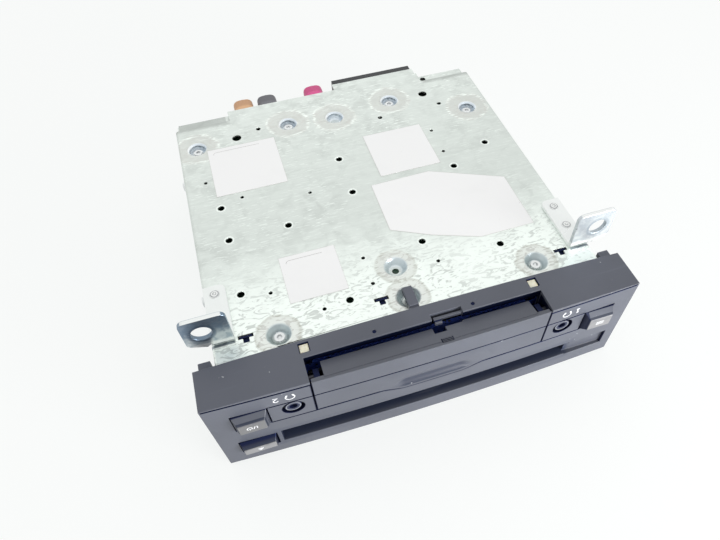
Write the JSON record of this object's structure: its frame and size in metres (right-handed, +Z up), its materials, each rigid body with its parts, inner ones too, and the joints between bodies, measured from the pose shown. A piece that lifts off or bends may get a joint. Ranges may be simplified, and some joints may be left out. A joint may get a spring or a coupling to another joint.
{
  "type": "car disc player",
  "caption": "Slot-loading in-car disc player lying on its lid: sheet-metal case with riveted mounting ears, moulded front with keys, hinged input flap, rear sockets and a working drive inside.",
  "frame": {"origin": "on the plane the lid rests on, under the middle of the overall width and depth", "axes": "+Z up out of the case's underside, which faces up as the unit lies; +Y back to the sockets; +X to the right seen from the front panel"},
  "size_m": [0.198, 0.2052, 0.0762],
  "materials": {
    "zinc_sheet": "galvanised, dull",
    "zinc_ear": "zinc plated, satin",
    "screw_steel": "plain, satin",
    "nut_brass": "turned",
    "label_paper": "coated paper",
    "bezel_plastic": "fine spark texture",
    "flap_plastic": "fine spark texture",
    "key_plastic": "fine spark texture",
    "felt": "short pile",
    "light_guide": "milky",
    "board_green": "solder mask",
    "socket_black": "moulded",
    "ring_nickel": "nickel plated",
    "switch_ivory": "moulded",
    "insert_yellow": "moulded",
    "insert_white": "moulded",
    "insert_red": "moulded",
    "chip_black": "moulded epoxy",
    "capacitor_can": "drawn can",
    "ribbon_film": "laminated film",
    "coax_tan": "moulded",
    "coax_grey": "moulded",
    "coax_magenta": "moulded",
    "contact_gold": "gold flashed",
    "drive_steel": "zinc plated",
    "damper_rubber": "soft rubber",
    "drive_plastic": "glass filled",
    "roller_rubber": "ground rubber",
    "gear_nylon": "acetal",
    "pinion_brass": "cut brass",
    "motor_can": "nickel plated can",
    "sled_alloy": "die cast",
    "lens_glass": "coated"
  },
  "bodies": {
    "chassis": {"base_pan": "zinc_sheet", "lid": "zinc_sheet", "rear_panel": "zinc_sheet", "ear_left": "zinc_ear", "ear_right": "zinc_ear", "ear_rivets": "zinc_ear", "screws": "screw_steel", "board_nuts": "nut_brass", "labels": "label_paper", "bezel": "bezel_plastic", "slot_felts": "felt", "light_guides": "light_guide", "key_switches": "socket_black", "key_board": "board_green", "jack_housings": "socket_black", "jack_rings": "ring_nickel", "input_panel": "socket_black", "input_shells": "ring_nickel", "input_yellow": "insert_yellow", "input_white": "insert_white", "input_red": "insert_red", "main_board": "board_green", "board_chips": "chip_black", "board_capacitors": "capacitor_can", "ribbon_sockets": "switch_ivory", "ribbon_cables": "ribbon_film", "coax_tan": "coax_tan", "coax_grey": "coax_grey", "coax_magenta": "coax_magenta", "coax_contacts": "contact_gold", "header_shroud": "socket_black", "header_pins": "contact_gold", "drive_rails": "drive_steel", "dampers": "damper_rubber", "drive_deck": "drive_steel", "disc_guide": "drive_plastic", "loading_motor": "motor_can", "spindle_motor": "motor_can", "rod_holders": "drive_plastic", "guide_rods": "drive_steel", "sled_motor": "motor_can"},
    "flap": {"flap": "flap_plastic", "flap_pins": "screw_steel"},
    "power_button": {"power_key": "key_plastic", "power_plunger": "switch_ivory"},
    "eject_button": {"eject_key": "key_plastic", "eject_plunger": "switch_ivory"},
    "mode_button": {"mode_key": "key_plastic", "mode_plunger": "switch_ivory"},
    "turntable": {"turntable": "drive_plastic"},
    "pickup": {"pickup_sled": "sled_alloy", "pickup_lens": "lens_glass"},
    "lead_screw": {"lead_screw": "drive_steel"},
    "clamp_arm": {"clamp_arm": "drive_steel"},
    "clamper": {"clamper": "drive_plastic"},
    "feed_roller": {"feed_roller": "roller_rubber", "roller_shaft": "drive_steel", "roller_gear": "gear_nylon"},
    "idler": {"idler_gear": "gear_nylon"},
    "pinion": {"motor_pinion": "pinion_brass"}
  },
  "joints": [
    {"name": "flap_hinge", "type": "hinge", "parent": "chassis", "child": "flap", "pos_m": [0, -0.0944, 0.052], "axis": [-1, 0, 0], "range_deg": [0, 80]},
    {"name": "power_press", "type": "slide", "parent": "chassis", "child": "power_button", "axis": [0, 1, 0], "range_m": [0, 0.0008], "stiffness_N_per_m": 1500, "springref_m": -0.0005},
    {"name": "eject_press", "type": "slide", "parent": "chassis", "child": "eject_button", "axis": [0, 1, 0], "range_m": [0, 0.0008], "stiffness_N_per_m": 1500, "springref_m": -0.0005},
    {"name": "mode_press", "type": "slide", "parent": "chassis", "child": "mode_button", "axis": [0, 1, 0], "range_m": [0, 0.0008], "stiffness_N_per_m": 1500, "springref_m": -0.0005},
    {"name": "turntable_spin", "type": "hinge", "parent": "chassis", "child": "turntable", "pos_m": [0, -0.0027, 0.018], "axis": [0, 0, 1], "continuous": true},
    {"name": "pickup_slide", "type": "slide", "parent": "chassis", "child": "pickup", "axis": [0, 1, 0], "range_m": [0, 0.034]},
    {"name": "lead_screw_turn", "type": "hinge", "parent": "chassis", "child": "lead_screw", "pos_m": [-0.028, 0.0321, 0.027], "axis": [0, 1, 0], "continuous": true},
    {"name": "clamp_swing", "type": "hinge", "parent": "chassis", "child": "clamp_arm", "pos_m": [0, 0.0683, 0.01], "axis": [-1, 0, 0], "range_deg": [0, 2.9]},
    {"name": "clamper_spin", "type": "hinge", "parent": "clamp_arm", "child": "clamper", "pos_m": [0, -0.0027, 0.008], "axis": [0, 0, 1], "continuous": true},
    {"name": "roller_spin", "type": "hinge", "parent": "chassis", "child": "feed_roller", "pos_m": [0, -0.0677, 0.02], "axis": [1, 0, 0], "continuous": true},
    {"name": "idler_spin", "type": "hinge", "parent": "chassis", "child": "idler", "pos_m": [-0.0749, -0.0614, 0.03091], "axis": [1, 0, 0], "continuous": true},
    {"name": "pinion_spin", "type": "hinge", "parent": "chassis", "child": "pinion", "pos_m": [-0.0749, -0.0518, 0.03091], "axis": [1, 0, 0], "continuous": true}
  ],
  "couplings": [
    {"joint": "lead_screw_turn", "follows": "pickup_slide", "rad_per_m": 2094.4},
    {"joint": "idler_spin", "follows": "roller_spin", "ratio": -1.3333},
    {"joint": "pinion_spin", "follows": "roller_spin", "ratio": 1.7143}
  ]
}
